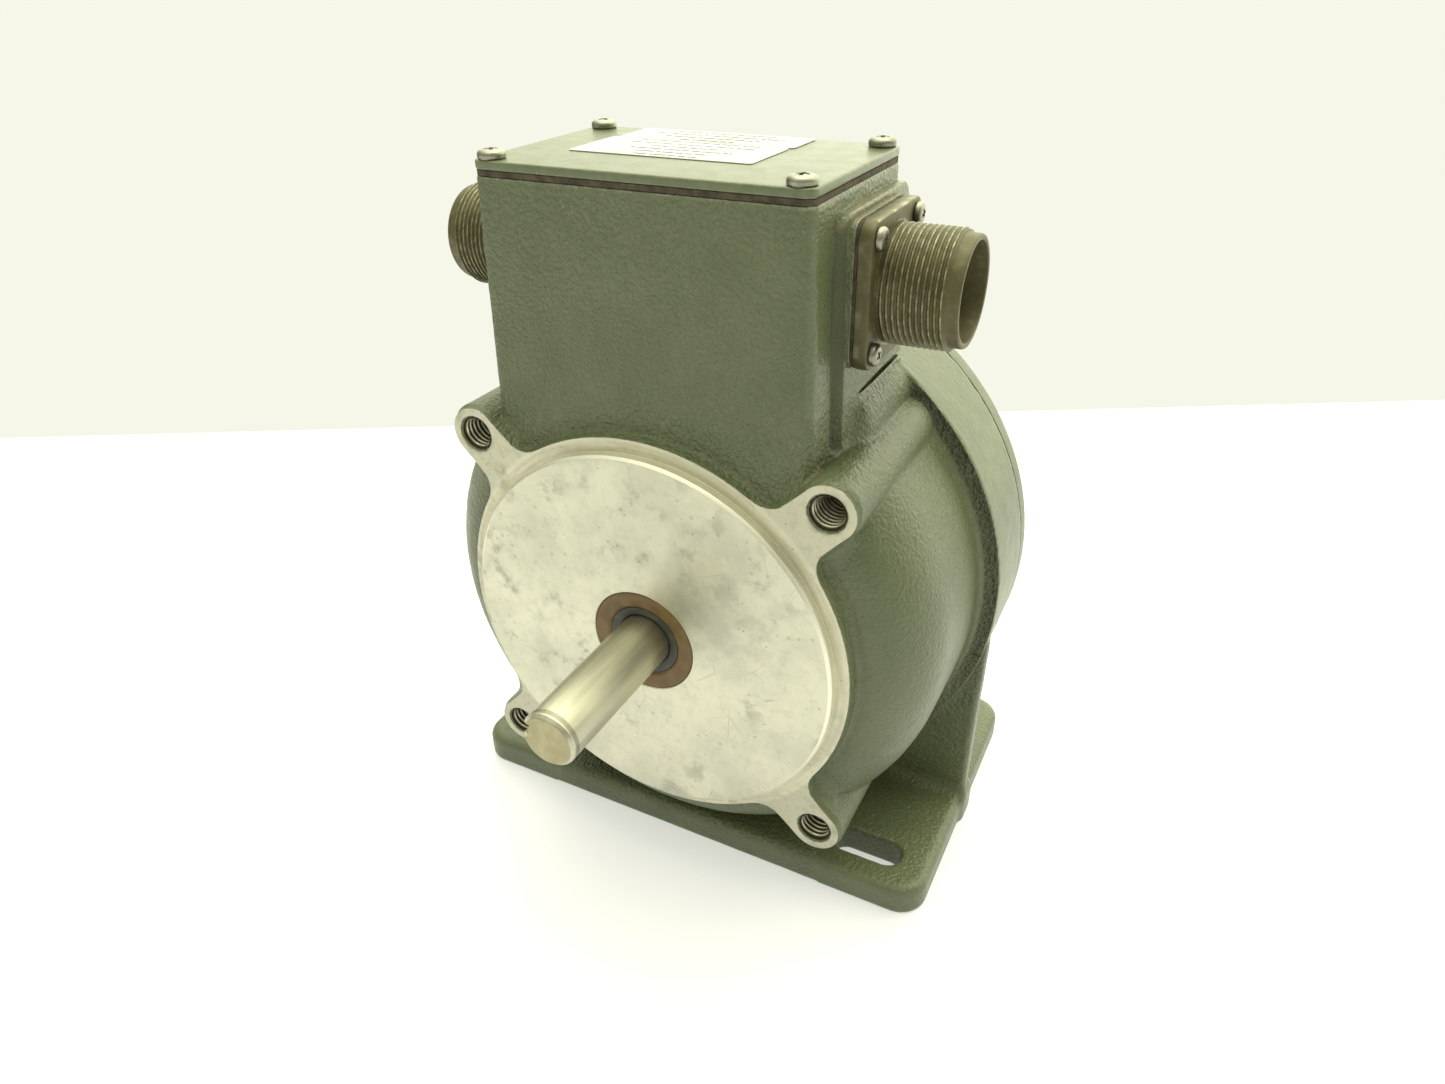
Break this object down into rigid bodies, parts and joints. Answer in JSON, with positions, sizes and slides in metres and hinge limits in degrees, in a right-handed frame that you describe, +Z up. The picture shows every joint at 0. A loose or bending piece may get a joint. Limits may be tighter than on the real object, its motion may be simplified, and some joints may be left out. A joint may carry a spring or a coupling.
{
  "type": "shaft pulse tachometer",
  "caption": "Foot-mounted pulse tachometer with a keyed shaft, round cast housing, motor face with bolting lugs, terminal box and two side connectors.",
  "frame": {"origin": "middle of the whole machine seen from above, in the plane of the underside of the feet", "axes": "+Z up, through the terminal box; -Y along the shaft, out of the machine; +X to the right when looking at the rear from the shaft end"},
  "size_m": [0.1704, 0.1608, 0.2163],
  "materials": {
    "paint": "semi-gloss grey-green machinery enamel over a sand casting",
    "steel": "ground and turned carbon steel",
    "zinc": "bright zinc plate",
    "olive_plate": "olive plate, worn bright on the edges",
    "gasket": "dark brown-black sheet",
    "rubber": "matt black rubber",
    "seal_case": "brown lacquer with rust",
    "label": "plain white film without lettering",
    "aluminium": "machined",
    "brass": "dull",
    "resin": "black moulding",
    "board": "green board",
    "wire": "grey sleeve"
  },
  "bodies": {
    "housing": {"housing": "paint", "rear_cover": "paint", "rear_cover_gasket": "gasket", "rear_cover_screw_1": "zinc", "rear_cover_screw_2": "zinc", "rear_cover_screw_3": "zinc", "rear_cover_screw_4": "zinc", "rear_cover_screw_5": "zinc", "rear_cover_screw_6": "zinc", "box_lid": "paint", "lid_gasket": "gasket", "lid_screw_1": "zinc", "lid_screw_2": "zinc", "lid_screw_3": "zinc", "lid_screw_4": "zinc", "lid_label_front": "label", "lid_label_rear": "label", "shaft_seal_case": "seal_case", "shaft_seal_lip": "rubber", "front_bearing_outer_race": "steel", "rear_bearing_outer_race": "steel", "bearing_spacer": "aluminium", "bearing_wave_spring": "steel", "bearing_retaining_ring": "steel", "sensor_plate": "aluminium", "sensor_module_right": "resin", "sensor_screw_right_1": "zinc", "sensor_screw_right_2": "zinc", "sensor_module_left": "resin", "sensor_screw_left_1": "zinc", "sensor_screw_left_2": "zinc", "wire_harness_right": "wire", "wire_harness_left": "wire", "terminal_board": "board", "board_standoff_right": "brass", "board_standoff_left": "brass", "connector_right_shell": "olive_plate", "connector_right_gasket": "gasket", "connector_right_insert": "resin", "connector_right_screw_1": "zinc", "connector_right_screw_2": "zinc", "connector_right_screw_3": "zinc", "connector_right_screw_4": "zinc", "connector_left_shell": "olive_plate", "connector_left_gasket": "gasket", "connector_left_insert": "resin", "connector_left_screw_1": "zinc", "connector_left_screw_2": "zinc", "connector_left_screw_3": "zinc", "connector_left_screw_4": "zinc"},
    "rotor": {"shaft": "steel", "front_bearing_inner_race": "steel", "rear_bearing_inner_race": "steel", "pulse_wheel": "aluminium", "pulse_wheel_hub": "aluminium", "hub_set_screw": "steel", "shaft_retaining_ring": "steel"},
    "front_cage": {"front_bearing_cage_and_balls": "brass"},
    "rear_cage": {"rear_bearing_cage_and_balls": "brass"}
  },
  "joints": [
    {"name": "shaft_spin", "type": "hinge", "parent": "housing", "child": "rotor", "pos_m": [0, -0.0346, 0.0889], "axis": [0, -1, 0], "continuous": true},
    {"name": "front_cage_spin", "type": "hinge", "parent": "housing", "child": "front_cage", "pos_m": [0, -0.0346, 0.0889], "axis": [0, -1, 0], "continuous": true},
    {"name": "rear_cage_spin", "type": "hinge", "parent": "housing", "child": "rear_cage", "pos_m": [0, -0.0346, 0.0889], "axis": [0, -1, 0], "continuous": true}
  ],
  "couplings": [
    {"joint": "front_cage_spin", "follows": "shaft_spin", "ratio": 0.3816},
    {"joint": "rear_cage_spin", "follows": "shaft_spin", "ratio": 0.3816}
  ]
}
